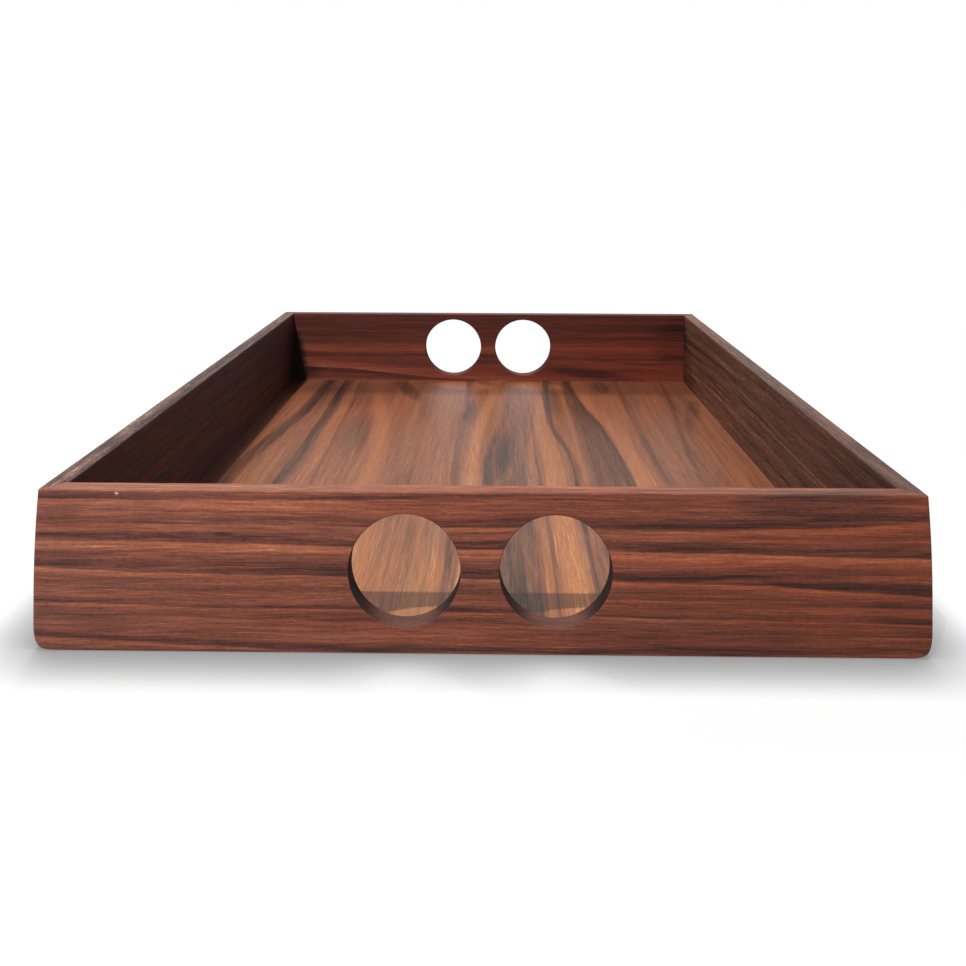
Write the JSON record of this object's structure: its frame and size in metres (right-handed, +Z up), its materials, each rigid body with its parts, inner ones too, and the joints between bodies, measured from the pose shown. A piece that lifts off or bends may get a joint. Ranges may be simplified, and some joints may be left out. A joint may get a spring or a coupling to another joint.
{
  "type": "serving tray",
  "caption": "Shallow walnut serving tray with mitred walls, round finger holes through both short ends and a flat floor panel.",
  "frame": {"origin": "on the table under the centre of the tray", "axes": "+X across the tray to the right, -Y towards the front short board, +Z up"},
  "size_m": [0.356, 0.457, 0.064],
  "materials": {
    "walnut_walls": "satin oil on planed solid walnut",
    "walnut_floor": "satin oil on a paler walnut face",
    "spline_wood": "bare, hidden in the mitre"
  },
  "bodies": {
    "root": {"front_board": "walnut_walls", "back_board": "walnut_walls", "left_board": "walnut_walls", "right_board": "walnut_walls", "floor_panel": "walnut_floor", "spline_front_left": "spline_wood", "spline_front_right": "spline_wood", "spline_back_left": "spline_wood", "spline_back_right": "spline_wood"}
  },
  "joints": []
}
